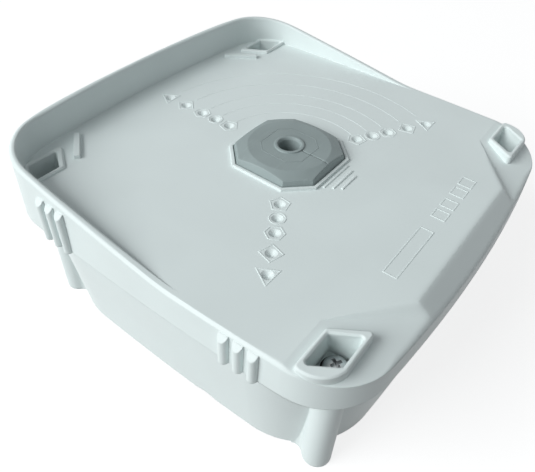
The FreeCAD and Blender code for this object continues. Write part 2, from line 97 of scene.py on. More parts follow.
# The scored octagon on the grommet: half its width and half the length of an upright side
SCORE_OCTAGON = (7.4, 4.2)

# Rounding of the top edges, as a share of the width of a line and of a bar
LINE_ROUNDING = 0.25
BAR_ROUNDING = 0.3

# Screw head: steps up its crown, sides of its round, height of its shoulder as a share of the
# head, and a power below 1 that makes its crown fuller than a ball
HEAD_STEPS = 8
HEAD_SIDES = 48
HEAD_SHOULDER = 0.34
CROWN_POWER = 0.62

# The foot of a recess arm, as shares of its length and width
RECESS_FOOT = (0.55, 0.6)

# Thread: where its crest starts and ends and its root starts, as shares of the pitch, and the
# turns wound beyond the shank's length
CREST_START = 0.40
CREST_END = 0.52
ROOT_START = 0.92
SPARE_TURNS = 2

# The shank's blunt point: its length in core radii, and its end as a share of the core
POINT_LENGTH = 2.0
POINT_END = 0.25

# How far the shank starts inside the head
HEAD_OVERLAP = 0.4

# Points closer than these are joined, on a head's axis and elsewhere, and points this near to
# the level of a cut lie on it
AXIS_GAP = 0.001
WELD_GAP = 0.002
CUT_GAP = 0.003

# Faces that meet at less than this many degrees are shaded as one surface
SMOOTH_ANGLE = 35.0

# Where the wide rounding of the lid's rim fades in along Y, how far from a screw's axis it
# starts, and the levels between which the hood's rounding fades in
RIM_FADE = (-55.0, -33.0)
WELL_CLEARANCE = (9.5, 12.5)
HOOD_FADE = (48.3, 50.0)

# Edge radii of the fine raised lines, the grommet, the seals and the screws
RELIEF_EDGE = 0.04
GROMMET_EDGE = 0.5
SEAL_EDGE = 0.2
SCREW_EDGE = 0.12

# Nearly all of a noise lies in the first span, and its peaks in the second are scuffs
NOISE_SPAN = (0.3, 0.7)
SCUFF_SPAN = (0.58, 0.78)

# Surface pits: their scale as a share of the grain's, their depth, and their reach from the middle
PIT_SCALE = 0.22
PIT_DEPTH = 0.35
PIT_REACH = 0.16

# The most painted shade at the bottom of a pit, from none
PIT_SHADE = (0.0, 0.10)

# Cosine between a softened normal and its face, from well round an edge to flat, and the rays
# that the softening takes
EDGE_SPAN = (0.80, 1.0)
EDGE_RAYS = 6

# A face whose normal rises less than this is the side of a line, not its top
SIDE_RISE = 0.5

# Stage, in metres: the floor reaches this far from the middle, just under the box's back
FLOOR_REACH = 3.0
FLOOR_DROP = 0.02 * MM
KEY_PLACE = (-1.11, 0.59, 0.85)
KEY_TARGET = (0.0, 0.0, 0.03)
KEY_SIZE = (1.0, 1.0)
KEY_COLOUR = (0.97, 1.0, 1.0)
ROOM_COLOUR = (0.93, 0.97, 1.0, 1.0)

# The camera's place in metres, its own right, up and backward directions, and its sensor
CAMERA_PLACE = (-0.111209, -0.072609, 0.142854)
CAMERA_RIGHT = (0.60738, -0.7934, 0.04)
CAMERA_UP = (0.5362, 0.4466, 0.71627)
CAMERA_BACK = (-0.58615, -0.4136, 0.69668)
SENSOR_WIDTH = 36.0


# Settings


class HousingSettings(bpy.types.PropertyGroup):
    plastic_colour: FloatVectorProperty(
        name="Plastic", description="Colour of the white moulded plastic", subtype="COLOR",
        size=3, min=0.0, max=1.0, default=(0.76, 0.83, 0.825),
    )
    plastic_roughness: FloatProperty(
        name="Plastic roughness", description="How matt the moulded plastic is", subtype="FACTOR",
        min=0.0, max=1.0, default=0.42,
    )
    edge_radius: FloatProperty(
        name="Edge radius", description="Radius that softens every moulded edge", subtype="DISTANCE",
        unit="LENGTH", min=0.0, max=0.003, precision=5, default=0.35 * MM,
    )
    rim_radius: FloatProperty(
        name="Rim rounding", description="Widest rounding of the lid's lower rim", subtype="DISTANCE",
        unit="LENGTH", min=0.0, max=0.005, precision=5, default=2.6 * MM,
    )
    hood_radius: FloatProperty(
        name="Hood rounding", description="Rounding of the hood's top edge", subtype="DISTANCE",
        unit="LENGTH", min=0.0, max=0.005, precision=5, default=0.85 * MM,
    )
    rubber_colour: FloatVectorProperty(
        name="Grommet rubber", description="Colour of the cable grommet", subtype="COLOR",
        size=3, min=0.0, max=1.0, default=(0.29, 0.345, 0.345),
    )
    seal_colour: FloatVectorProperty(
        name="Seal rubber", description="Colour of the lid seal and the sealing washers", subtype="COLOR",
        size=3, min=0.0, max=1.0, default=(0.016, 0.017, 0.018),
    )
    zinc_colour: FloatVectorProperty(
        name="Zinc plating", description="Colour of the plated lid screws", subtype="COLOR",
        size=3, min=0.0, max=1.0, default=(0.50, 0.52, 0.53),
    )


class ReliefSettings(bpy.types.PropertyGroup):
    line_width: FloatProperty(
        name="Line width", description="Width of the raised lines on the plate", subtype="DISTANCE",
        unit="LENGTH", min=0.1 * MM, max=1.0 * MM, precision=5, default=0.34 * MM,
    )
    line_height: FloatProperty(
        name="Line height", description="Height of the raised lines over the plate", subtype="DISTANCE",
        unit="LENGTH", min=0.02 * MM, max=1.0 * MM, precision=5, default=0.11 * MM,
    )
    arc_height: FloatProperty(
        name="Arc height", description="Height of the pitch circle arcs over the plate", subtype="DISTANCE",
        unit="LENGTH", min=0.02 * MM, max=1.0 * MM, precision=5, default=0.07 * MM,
    )
    score_height: FloatProperty(
        name="Score height", description="Height of the scored octagon over the grommet", subtype="DISTANCE",
        unit="LENGTH", min=0.02 * MM, max=1.0 * MM, precision=5, default=0.05 * MM,
    )
    bar_height: FloatProperty(
        name="Bar height", description="Height of the three raised bars below the grommet",
        subtype="DISTANCE", unit="LENGTH", min=0.05 * MM, max=1.0 * MM, precision=5, default=0.32 * MM,
    )
    bar_width: FloatProperty(
        name="Bar width", description="Width of the three raised bars below the grommet",
        subtype="DISTANCE", unit="LENGTH", min=0.2 * MM, max=2.0 * MM, precision=5, default=0.75 * MM,
    )
    line_root: FloatProperty(
        name="Line root", description="How deep the raised lines reach into the plate", subtype="DISTANCE",
        unit="LENGTH", min=0.01 * MM, max=1.0 * MM, precision=5, default=0.1 * MM,
    )
    arc_start: FloatProperty(
        name="Arc start", description="Angle at which the pitch circle arcs start", subtype="ANGLE",
        unit="ROTATION", default=math.radians(-24.0),
    )
    arc_end: FloatProperty(
        name="Arc end", description="Angle at which the pitch circle arcs end", subtype="ANGLE",
        unit="ROTATION", default=math.radians(84.0),
    )


class ScrewSettings(bpy.types.PropertyGroup):
    recess_length: FloatProperty(
        name="Recess length", description="Length of each arm of the cross recess from the middle",
        subtype="DISTANCE", unit="LENGTH", min=0.5 * MM, max=2.5 * MM, precision=5, default=1.85 * MM,
    )
    recess_width: FloatProperty(
        name="Recess width", description="Width of an arm of the cross recess", subtype="DISTANCE",
        unit="LENGTH", min=0.2 * MM, max=1.5 * MM, precision=5, default=1.0 * MM,
    )
    recess_depth: FloatProperty(
        name="Recess depth", description="Depth of the cross recess", subtype="DISTANCE", unit="LENGTH",
        min=0.2 * MM, max=1.8 * MM, precision=5, default=1.3 * MM,
    )
    recess_turn: FloatProperty(
        name="Recess turn", description="Turn of the cross recess from the X axis", subtype="ANGLE",
        unit="ROTATION", default=math.radians(25.0),
    )
    thread_pitch: FloatProperty(
        name="Thread pitch", description="Distance between two turns of the thread", subtype="DISTANCE",
        unit="LENGTH", min=0.5 * MM, max=3.0 * MM, precision=5, default=1.25 * MM,
    )
    core_radius: FloatProperty(
        name="Core radius", description="Radius of the shank under the thread", subtype="DISTANCE",
        unit="LENGTH", min=0.5 * MM, max=1.4 * MM, precision=5, default=1.05 * MM,
    )
    thread_radius: FloatProperty(
        name="Thread radius", description="Radius over the crest of the thread", subtype="DISTANCE",
        unit="LENGTH", min=0.6 * MM, max=1.45 * MM, precision=5, default=1.43 * MM,
    )
    thread_steps: IntProperty(
        name="Thread steps", description="Steps in one turn of the thread", min=8, max=64, default=20,
    )


class StageSettings(bpy.types.PropertyGroup):
    floor_glow: FloatProperty(
        name="Floor glow", description="Whiteness that the floor adds for the camera and reflections",
        min=0.0, max=1.0, default=0.8,
    )
    floor_colour: FloatVectorProperty(
        name="Floor", description="Colour of the plain studio floor", subtype="COLOR",
        size=3, min=0.0, max=1.0, default=(0.30, 0.30, 0.30),
    )
    world_strength: FloatProperty(
        name="Room light", description="Strength of the even light from all round", min=0.0, max=3.0,
        default=0.27,
    )
    key_power: FloatProperty(
        name="Key light", description="Power of the soft light from the left", unit="POWER",
        min=0.0, max=50.0, default=22.5,
    )
    lens: FloatProperty(
        name="Lens", description="Focal length of the camera in millimetres", min=10.0, max=200.0,
        default=37.55,
    )


# Shared mesh work


def in_metres(sizes):
    return tuple(size * MM for size in sizes)


def new_piece(name, bm, body, material):
    # A finished piece: its object stays at the origin and its place is in its mesh
    mesh = bpy.data.meshes.new(name)
    bm.to_mesh(mesh)
    bm.free()
    piece = bpy.data.objects.new(name, mesh)
    bpy.context.scene.collection.objects.link(piece)
    mesh.materials.append(material)
    mesh.polygons.foreach_set("use_smooth", [True] * len(mesh.polygons))
    mesh.set_sharp_from_angle(angle=math.radians(SMOOTH_ANGLE))
    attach(piece, body)
    return piece


def lift_band(bm, faces, rise, rounding, relief):
    # Raises flat faces off the plate into a line with softened top edges
    geom = bmesh.ops.extrude_face_region(bm, geom=faces)["geom"]
    top = [item for item in geom if isinstance(item, bmesh.types.BMVert)]
    bmesh.ops.translate(bm, verts=top, vec=(0, 0, rise + relief.line_root))
    bm.normal_update()
    lifted = set(top)
    rim = [
        edge for edge in bm.edges
        if edge.verts[0] in lifted and edge.verts[1] in lifted
        and any(abs(face.normal.z) < SIDE_RISE for face in edge.link_faces)
    ]
    bmesh.ops.bevel(
        bm, geom=rim, offset=rounding, offset_type="OFFSET", segments=2, profile=0.5,
        affect="EDGES", material=-1,
    )


def raise_rim(bm, panel, rise, relief):
    # Keeps only a narrow band along the edge of a flat panel, and raises it
    band = bmesh.ops.inset_region(
        bm, faces=[panel], thickness=relief.line_width, use_boundary=True, use_even_offset=True,
    )["faces"]
    bmesh.ops.delete(bm, geom=[panel], context="FACES_ONLY")
    bm.normal_update()
    lift_band(bm, band, rise, LINE_ROUNDING * relief.line_width, relief)


def raise_polygon(bm, centre, radius, sides, turn, relief):
    # An outline of straight sides or a circle that stands on the plate
    place = Matrix.Translation((*centre, PLATE_LEVEL * MM - relief.line_root))
    ring = bmesh.ops.create_circle(
        bm, cap_ends=True, segments=sides, radius=radius + relief.line_width / 2,
        matrix=place @ Matrix.Rotation(turn, 4, "Z"),
    )["verts"]
    raise_rim(bm, ring[0].link_faces[0], relief.line_height, relief)


def flat_panel(bm, centre, size, relief):
    # A rectangle that lies just under the flat of the plate
    place = Matrix.Translation((*centre, PLATE_LEVEL * MM - relief.line_root))
    place = place @ Matrix.Diagonal((size[0] / 2, size[1] / 2, 1, 1))
    corners = bmesh.ops.create_grid(bm, x_segments=1, y_segments=1, size=1.0, matrix=place)["verts"]
    bm.normal_update()
    return corners[0].link_faces[0]


def raise_octagon(bm, half, side, level, relief):
    # The octagon has the grommet's own plan, drawn smaller
    corners = [(half, -side), (half, side), (side, half), (-side, half)]
    corners += [(-x, -y) for x, y in corners]
    panel = bm.faces.new([bm.verts.new((x, y, level - relief.line_root)) for x, y in corners])
    bm.normal_update()
    raise_rim(bm, panel, relief.score_height, relief)


def spin_profile(bm, points, **turn):
    # Joins points of the XZ plane by edges and spins them round the Z axis
    verts = [bm.verts.new((reach, 0, level)) for reach, level in points]
    edges = [bm.edges.new(pair) for pair in zip(verts, verts[1:])]
    bmesh.ops.spin(bm, geom=verts + edges, cent=(0, 0, 0), axis=(0, 0, 1), **turn)


def turned_head(sizes, radius, height):
    # A pan head turned from its side and crown, closed underneath
    bm = bmesh.new()
    shoulder = HEAD_SHOULDER * height
    points = [(0.0, 0.0), (radius, 0.0)]
    for step in range(HEAD_STEPS + 1):
        slope = math.radians(90.0 * step / HEAD_STEPS)
        reach = max(radius * math.cos(slope) ** CROWN_POWER, 0.0)
        points.append((reach, shoulder + (height - shoulder) * math.sin(slope)))
    spin_profile(bm, points, angle=2 * math.pi, steps=HEAD_SIDES, use_merge=True)
    bmesh.ops.remove_doubles(bm, verts=bm.verts, dist=AXIS_GAP * MM)
    bmesh.ops.recalc_face_normals(bm, faces=bm.faces)
    for turn in (0.0, math.pi / 2):
        bm = cut_away(bm, recess_arm(sizes, height, turn))
    drop_slivers(bm)
    return bm


def recess_arm(sizes, height, turn):
    # One bar of the cross, narrower towards its foot
    bm = bmesh.new()
    size = Matrix.Diagonal((2 * sizes.recess_length, sizes.recess_width, 2 * sizes.recess_depth, 1))
    place = Matrix.Rotation(turn, 4, "Z") @ Matrix.Translation((0, 0, height))
    verts = bmesh.ops.create_cube(bm, size=1.0)["verts"]
    foot = [vert for vert in verts if vert.co.z < 0]
    bmesh.ops.scale(bm, vec=(*RECESS_FOOT, 1.0), verts=foot)
    bmesh.ops.transform(bm, matrix=place @ size, verts=verts)
    return bm


def cut_away(bm, tool):
    # Cuts one closed shape out of another
    held = []
    for name, shape in (("cut_blank", bm), ("cut_tool", tool)):
        mesh = bpy.data.meshes.new(name)
        shape.to_mesh(mesh)
        shape.free()
        held.append(bpy.data.objects.new(name, mesh))
        bpy.context.scene.collection.objects.link(held[-1])
    blank, cutter = held
    cut = blank.modifiers.new("Cut", "BOOLEAN")
    cut.operation = "DIFFERENCE"
    cut.solver = "EXACT"
    cut.object = cutter
    finished = bpy.data.meshes.new_from_object(
        blank.evaluated_get(bpy.context.evaluated_depsgraph_get()),
    )
    result = bmesh.new()
    result.from_mesh(finished)
    for piece in held:
        mesh = piece.data
        bpy.data.objects.remove(piece)
        bpy.data.meshes.remove(mesh)
    bpy.data.meshes.remove(finished)
    return result


def drop_slivers(bm):
    # Cuts leave points a hair apart and faces with no area
    bmesh.ops.remove_doubles(bm, verts=bm.verts, dist=WELD_GAP * MM)
    bmesh.ops.dissolve_degenerate(bm, edges=bm.edges, dist=WELD_GAP * MM)


def join_shape(bm, other):
    # Adds one finished shape to another
    mesh = bpy.data.meshes.new("joined_shape")
    other.to_mesh(mesh)
    other.free()
    bm.from_mesh(mesh)
    bpy.data.meshes.remove(mesh)


def cut_level(bm, level, normal):
    # Cuts a tube off at a level, on the side that the normal points to, and closes it there
    bmesh.ops.bisect_plane(
        bm, geom=bm.verts[:] + bm.edges[:] + bm.faces[:], dist=WELD_GAP * MM,
        plane_co=(0, 0, level), plane_no=normal, clear_outer=True,
    )
    drop_slivers(bm)
    rim = [
        edge for edge in bm.edges
        if edge.is_boundary and all(abs(vert.co.z - level) < CUT_GAP * MM for vert in edge.verts)
    ]
    return bmesh.ops.edgeloop_fill(bm, edges=rim)["faces"]


def thread_shank(sizes, length):
    # A coarse thread wound down from inside the head, closed by a blunt point
    bm = bmesh.new()
    pitch, core, crest = sizes.thread_pitch, sizes.core_radius, sizes.thread_radius
    point = POINT_LENGTH * core
    turns = math.ceil(length / pitch) + SPARE_TURNS
    profile = [(core, 0.0), (crest, CREST_START), (crest, CREST_END), (core, ROOT_START), (core, 1.0)]
    spin_profile(
        bm, [(reach, (SPARE_TURNS - share) * pitch) for reach, share in profile],
        dvec=(0, 0, -pitch / sizes.thread_steps), angle=2 * math.pi * turns,
        steps=sizes.thread_steps * turns, use_merge=False,
    )
    bmesh.ops.remove_doubles(bm, verts=bm.verts, dist=WELD_GAP * MM)
    cut_level(bm, HEAD_OVERLAP * MM, (0, 0, 1))
    end = cut_level(bm, point - length, (0, 0, -1))
    pushed = bmesh.ops.extrude_face_region(bm, geom=end)["geom"]
    bmesh.ops.delete(bm, geom=end, context="FACES_ONLY")
    tip = [item for item in pushed if isinstance(item, bmesh.types.BMVert)]
    bmesh.ops.translate(bm, verts=tip, vec=(0, 0, -point))
    bmesh.ops.scale(bm, verts=tip, vec=(POINT_END, POINT_END, 1.0))
    return bm


# Node groups and materials


def add_node(tree, kind, place, **values):
    node = tree.nodes.new(kind)
    node.location = place
    for label, value in values.items():
        node.inputs[label].default_value = value
    return node


def new_group(name, inputs, outputs):
    group = bpy.data.node_groups.new(name, "ShaderNodeTree")
    for label, default in inputs:
        socket = group.interface.new_socket(name=label, in_out="INPUT", socket_type="NodeSocketFloat")
        socket.default_value = default
    for label in outputs:
        group.interface.new_socket(name=label, in_out="OUTPUT", socket_type="NodeSocketFloat")
    start = add_node(group, "NodeGroupInput", (-900, 0))
    end = add_node(group, "NodeGroupOutput", (700, 0))
    return group, start.outputs, end.inputs


def math_node(tree, operation, first, second, place):
    node = add_node(tree, "ShaderNodeMath", place)
    node.operation = operation
    for socket, value in zip(node.inputs, (first, second)):
        if isinstance(value, bpy.types.NodeSocket):
            tree.links.new(value, socket)
        else:
            socket.default_value = value
    return node.outputs[0]


def range_node(tree, source, from_span, to_span, place):
    node = add_node(tree, "ShaderNodeMapRange", place)
    for label, value in zip(("From Min", "From Max", "To Min", "To Max"), (*from_span, *to_span)):
        node.inputs[label].default_value = value
    tree.links.new(source, node.inputs["Value"])
    return node.outputs["Result"]


def tint_node(tree, factor, first, second, place):
    node = add_node(tree, "ShaderNodeMix", place)
    node.data_type = "RGBA"
    tree.links.new(factor, node.inputs["Factor"])
    for socket, value in ((node.inputs[6], first), (node.inputs[7], second)):
        if isinstance(value, bpy.types.NodeSocket):
            tree.links.new(value, socket)
        else:
            socket.default_value = (*value, 1.0)
    return node.outputs[2]


def bump_node(tree, height, normal, strength, distance):
    node = add_node(tree, "ShaderNodeBump", (120, -300), Strength=strength, Distance=distance)
    tree.links.new(height, node.inputs["Height"])
    tree.links.new(normal, node.inputs["Normal"])
    return node.outputs["Normal"]


def moulding_group():
    # Fine satin grain with the long soft waves that cooling leaves in a moulding
    group, given, result = new_group(
        "Moulding Surface",
        (("Grain Scale", 3200.0), ("Wave Scale", 45.0), ("Grain Share", 0.5)),
        ("Height", "Shade", "Pit Middle"),
    )
    links = group.links
    place = add_node(group, "ShaderNodeTexCoord", (-900, -300))
    grain = add_node(group, "ShaderNodeTexNoise", (-600, 200), Detail=3.0, Roughness=0.6)
    wave = add_node(
        group, "ShaderNodeTexNoise", (-600, -100), Detail=2.0, Roughness=0.45, Distortion=0.4,
    )
    cells = add_node(group, "ShaderNodeTexVoronoi", (-600, -400))
    cells.feature = "F1"
    for texture in (grain, wave, cells):
        links.new(place.outputs["Object"], texture.inputs["Vector"])
    links.new(given["Grain Scale"], grain.inputs["Scale"])
    links.new(given["Wave Scale"], wave.inputs["Scale"])
    cell_scale = math_node(group, "MULTIPLY", given["Grain Scale"], PIT_SCALE, (-780, -420))
    links.new(cell_scale, cells.inputs["Scale"])
    pits = math_node(group, "MULTIPLY", cells.outputs["Distance"], PIT_DEPTH, (-380, -380))
    fine = math_node(group, "ADD", grain.outputs["Fac"], pits, (-200, 100))
    fine = math_node(group, "MULTIPLY", fine, given["Grain Share"], (0, 100))
    links.new(math_node(group, "ADD", fine, wave.outputs["Fac"], (200, 60)), result["Height"])
    links.new(wave.outputs["Fac"], result["Shade"])
    pit_middle = math_node(group, "SUBTRACT", PIT_REACH, cells.outputs["Distance"], (0, -380))
    links.new(math_node(group, "MAXIMUM", pit_middle, 0.0, (200, -380)), result["Pit Middle"])
    return group


def marks_group():
    # Thin handling marks: stretched scuffs that break up the gloss
    group, given, result = new_group(
        "Handling Marks", (("Mark Scale", 130.0), ("Mark Amount", 0.5)), ("Mask",),
    )
    links = group.links
    place = add_node(group, "ShaderNodeTexCoord", (-900, -300))
    stretch = add_node(
        group, "ShaderNodeMapping", (-720, -300), Rotation=(0.3, 0.2, 0.6), Scale=(1.0, 9.0, 3.0),
    )
    links.new(place.outputs["Object"], stretch.inputs["Vector"])
    streak = add_node(group, "ShaderNodeTexNoise", (-520, -100), Detail=4.0)
    links.new(stretch.outputs["Vector"], streak.inputs["Vector"])
    links.new(given["Mark Scale"], streak.inputs["Scale"])
    sharp = range_node(group, streak.outputs["Fac"], SCUFF_SPAN, (0.0, 1.0), (-300, -100))
    links.new(math_node(group, "MULTIPLY", sharp, given["Mark Amount"], (0, -100)), result["Mask"])
    return group


def place_group(tree, name, build, values, place):
    # Places a shared group, which is built the first time that a material asks for it
    node = add_node(tree, "ShaderNodeGroup", place)
    node.node_tree = bpy.data.node_groups.get(name) or build()
    for label, value in values.items():
        node.inputs[label].default_value = value
    return node.outputs


def start_material(name):
    material = bpy.data.materials.new(name)
    material.use_nodes = True
    shader = material.node_tree.nodes["Principled BSDF"]
    shader.location = (400, 200)
    return material, material.node_tree, shader


def start_finish(name, grain, marks, radius):
    # A material with its surface, its handling marks and the softened normal of its edges
    material, tree, shader = start_material(name)
    surface = place_group(tree, "Moulding Surface", moulding_group, grain, (-700, 100))
    scuffs = place_group(tree, "Handling Marks", marks_group, marks, (-700, -200))
    soft = add_node(tree, "ShaderNodeBevel", (-700, -420), Radius=radius)
    soft.samples = EDGE_RAYS
    return material, tree, shader, surface, scuffs["Mask"], soft.outputs["Normal"]


def link_finish(tree, shader, base, roughness, normal):
    for label, source in (("Base Color", base), ("Roughness", roughness), ("Normal", normal)):
        tree.links.new(source, shader.inputs[label])


def wide_edges(tree, bevel, narrow, wide, hood):
    # The lower rim of the lid rolls over in a wide round, but the screw wells in its corners stay crisp.
    # The hood above the plate has a full round along its top.
    links = tree.links
    where = add_node(tree, "ShaderNodeTexCoord", (-2160, -420))
    split = add_node(tree, "ShaderNodeSeparateXYZ", (-1980, -420))
    links.new(where.outputs["Object"], split.inputs[0])
    side = math_node(tree, "ABSOLUTE", split.outputs["X"], 0.0, (-1800, -300))
    flat = add_node(tree, "ShaderNodeCombineXYZ", (-1620, -300))
    links.new(side, flat.inputs["X"])
    links.new(split.outputs["Y"], flat.inputs["Y"])
    gap = add_node(tree, "ShaderNodeVectorMath", (-1440, -300))
    gap.operation = "DISTANCE"
    gap.inputs[1].default_value = (WELL_AXIS[0] * MM, -WELL_AXIS[1] * MM, 0.0)
    links.new(flat.outputs[0], gap.inputs[0])
    clear = range_node(tree, gap.outputs["Value"], in_metres(WELL_CLEARANCE), (0.0, 1.0), (-1260, -300))
    low = range_node(tree, split.outputs["Y"], in_metres(RIM_FADE), (1.0, 0.0), (-1260, -580))
    share = math_node(tree, "MULTIPLY", low, clear, (-1080, -420))
    rim = range_node(tree, share, (0.0, 1.0), (narrow, wide), (-1080, -600))
    top = range_node(tree, split.outputs["Z"], in_metres(HOOD_FADE), (narrow, hood), (-1260, -860))
    links.new(math_node(tree, "MAXIMUM", rim, top, (-880, -600)), bevel.inputs["Radius"])


def edge_mask(tree, soft_normal, place):
    # How far the softened normal leaves the face: strong only beside an edge
    surface = add_node(tree, "ShaderNodeNewGeometry", (place[0] - 200, place[1] - 120))
    dot = add_node(tree, "ShaderNodeVectorMath", place)
    dot.operation = "DOT_PRODUCT"
    tree.links.new(soft_normal, dot.inputs[0])
    tree.links.new(surface.outputs["Normal"], dot.inputs[1])
    return range_node(tree, dot.outputs["Value"], EDGE_SPAN, (1.0, 0.0), (place[0] + 200, place[1]))


def shaded(colour, factor):
    return tuple(min(1.0, value * factor) for value in colour)


def waved_tint(tree, surface, colour, dark, light):
    # The colour drifts between two shades along the waves of the surface
    share = range_node(tree, surface["Shade"], NOISE_SPAN, (0.0, 1.0), (-480, 260))
    return tint_node(tree, share, shaded(colour, dark), shaded(colour, light), (-240, 260))


def edge_highlight_tint(tree, soft_normal, base, colour, light):
    # Painted highlight: every edge is painted lighter than the faces
    return tint_node(
        tree, edge_mask(tree, soft_normal, (-480, -420)), base, shaded(colour, light), (0, 260),
    )


def scuffed(tree, surface, scuffs, smooth, rough, change):
    # The roughness drifts along the waves of the surface, and scuffs change it
    gloss = range_node(tree, surface["Shade"], NOISE_SPAN, (smooth, rough), (-240, -80))
    worn = math_node(tree, "MULTIPLY", scuffs, change, (-240, -240))
    return math_node(tree, "ADD", gloss, worn, (0, -100))


def moulded_plastic(name, colour, roughness, radius, wide):
    material, tree, shader, surface, scuffs, soft = start_finish(
        name, {"Grain Scale": 3000.0, "Wave Scale": 38.0, "Grain Share": 0.35},
        {"Mark Scale": 70.0, "Mark Amount": 0.5}, radius,
    )
    if wide:
        wide_edges(tree, soft.node, radius, *wide)
    base = waved_tint(tree, surface, colour, dark=0.975, light=1.02)
    # Painted highlight along the edges
    base = edge_highlight_tint(tree, soft, base, colour, light=1.10)
    # Painted shade: the plastic is painted darker at the bottom of each pit
    painted_pit_shade = range_node(tree, surface["Pit Middle"], (0.0, PIT_REACH), PIT_SHADE, (-240, 60))
    base = tint_node(tree, painted_pit_shade, base, shaded(colour, 0.80), (180, 260))
    gloss = scuffed(
        tree, surface, scuffs, smooth=roughness - 0.04, rough=roughness + 0.05, change=-0.07,
    )
    relief = bump_node(tree, surface["Height"], soft, strength=0.16, distance=0.08 * MM)
    link_finish(tree, shader, base, gloss, relief)
    shader.inputs["IOR"].default_value = 1.49
    shader.inputs["Specular IOR Level"].default_value = 0.30
    return material


def moulded_rubber(name, colour, roughness, radius, grain_scale):
    material, tree, shader, surface, scuffs, soft = start_finish(
        name, {"Grain Scale": grain_scale, "Wave Scale": 90.0, "Grain Share": 0.8},
        {"Mark Scale": 160.0, "Mark Amount": 0.6}, radius,
    )
    base = waved_tint(tree, surface, colour, dark=0.94, light=1.06)
    # Painted highlight along the edges
    base = edge_highlight_tint(tree, soft, base, colour, light=1.28)
    base = tint_node(tree, scuffs, base, shaded(colour, 1.18), (180, 260))
    gloss = range_node(
        tree, surface["Pit Middle"], (0.0, PIT_REACH), (roughness, roughness + 0.12), (-240, -80),
    )
    relief = bump_node(tree, surface["Height"], soft, strength=0.30, distance=0.08 * MM)
    link_finish(tree, shader, base, gloss, relief)
    shader.inputs["IOR"].default_value = 1.52
    shader.inputs["Specular IOR Level"].default_value = 0.35
    return material


def plated_steel(name, colour):
    # Zinc plating: fine-grained metal with duller patches and scuffs
    material, tree, shader, surface, scuffs, soft = start_finish(
        name, {"Grain Scale": 5200.0, "Wave Scale": 420.0, "Grain Share": 0.7},
        {"Mark Scale": 900.0, "Mark Amount": 0.8}, SCREW_EDGE * MM,
    )
    base = waved_tint(tree, surface, colour, dark=0.80, light=1.12)
    gloss = scuffed(tree, surface, scuffs, smooth=0.30, rough=0.46, change=0.16)
    relief = bump_node(tree, surface["Height"], soft, strength=0.25, distance=0.03 * MM)
    link_finish(tree, shader, base, gloss, relief)
    shader.inputs["Metallic"].default_value = 1.0
    return material


def housing_plastic(name, edge_radius, wide=None):
    sizes = bpy.context.scene.junction_housing
    return bpy.data.materials.get(name) or moulded_plastic(
        name, tuple(sizes.plastic_colour), sizes.plastic_roughness, edge_radius, wide,
    )


def relief_plastic():
    # The same plastic with the crisp edges of fine raised lines
    return housing_plastic("White Plastic Relief", RELIEF_EDGE * MM)


def grommet_rubber():
    colour = tuple(bpy.context.scene.junction_housing.rubber_colour)
    return bpy.data.materials.get("Grey Rubber") or moulded_rubber(
        "Grey Rubber", colour, 0.55, GROMMET_EDGE * MM, 2600.0,
    )


def dress(name, material):
    # A CAD node keeps its mesh and takes a finished material
    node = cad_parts[name]
    node.data.materials.clear()
    node.data.materials.append(material)


# Operators


class DressHousing(bpy.types.Operator):
    """Give the lid and the back box their white moulded plastic"""
    bl_idname = "junction_box.dress_housing"
    bl_label = "Dress the Housing"

    def execute(self, context):
        sizes = context.scene.junction_housing
        wide = (sizes.rim_radius, sizes.hood_radius)
        plastic = housing_plastic("White Plastic", sizes.edge_radius, wide)
        for name in ("lid", "back_box"):
            dress(name, plastic)
        return {"FINISHED"}


class DressGrommet(bpy.types.Operator):
    """Give the cable grommet its grey rubber"""
    bl_idname = "junction_box.dress_grommet"
    bl_label = "Dress the Cable Grommet"

    def execute(self, context):
        dress("cable_grommet", grommet_rubber())
        return {"FINISHED"}


class ScoreGrommet(bpy.types.Operator):
    """Raise the fine octagon that is scored round the cable hole of the grommet"""
    bl_idname = "junction_box.score_grommet"
    bl_label = "Score the Cable Grommet"

    def execute(self, context):
        half, side = in_metres(SCORE_OCTAGON)
        bm = bmesh.new()
        raise_octagon(bm, half, side, (PLATE_LEVEL + GROMMET_RISE) * MM, context.scene.junction_relief)
        bmesh.ops.recalc_face_normals(bm, faces=bm.faces)
        new_piece("grommet_score_line", bm, "lid_body", grommet_rubber())
        return {"FINISHED"}


class DressSeals(bpy.types.Operator):
    """Give the lid seal and the four sealing washers their black rubber"""
    bl_idname = "junction_box.dress_seals"
    bl_label = "Dress the Seals"

    def execute(self, context):
        colour = tuple(context.scene.junction_housing.seal_colour)
        rubber = moulded_rubber("Black Rubber", colour, 0.66, SEAL_EDGE * MM, 1900.0)
        dress("lid_seal", rubber)
        for corner in CORNER_SIDES:
            dress("screw_washer_" + corner, rubber)
        return {"FINISHED"}


class MakeScrews(bpy.types.Operator):
    """Make the four plated lid screws with their domed heads, cross recesses and threads"""
    bl_idname = "junction_box.make_screws"
    bl_label = "Make the Lid Screws"

    def execute(self, context):
        sizes = context.scene.junction_screws
        zinc = plated_steel("Zinc Steel", tuple(context.scene.junction_housing.zinc_colour))
        low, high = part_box("lid_screw_lower_left")
        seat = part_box("screw_washer_lower_left")[1][2]
        blank = turned_head(sizes, (high[0] - low[0]) / 2, high[2] - seat)
        join_shape(blank, thread_shank(sizes, seat - low[2]))
        bmesh.ops.recalc_face_normals(blank, faces=blank.faces)
        for corner, side in CORNER_SIDES.items():
            low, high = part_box("lid_screw_" + corner)
            axis = Matrix.Translation(((low[0] + high[0]) / 2, (low[1] + high[1]) / 2, seat))
            turn = Matrix.Rotation(sizes.recess_turn * side, 4, "Z")
            screw = blank.copy()
            bmesh.ops.transform(screw, matrix=axis @ turn, verts=screw.verts)
            piece = new_piece("threaded_screw_" + corner, screw, "screw_" + corner, zinc)
            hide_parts("lid_screw_" + corner)
        blank.free()
        return {"FINISHED"}


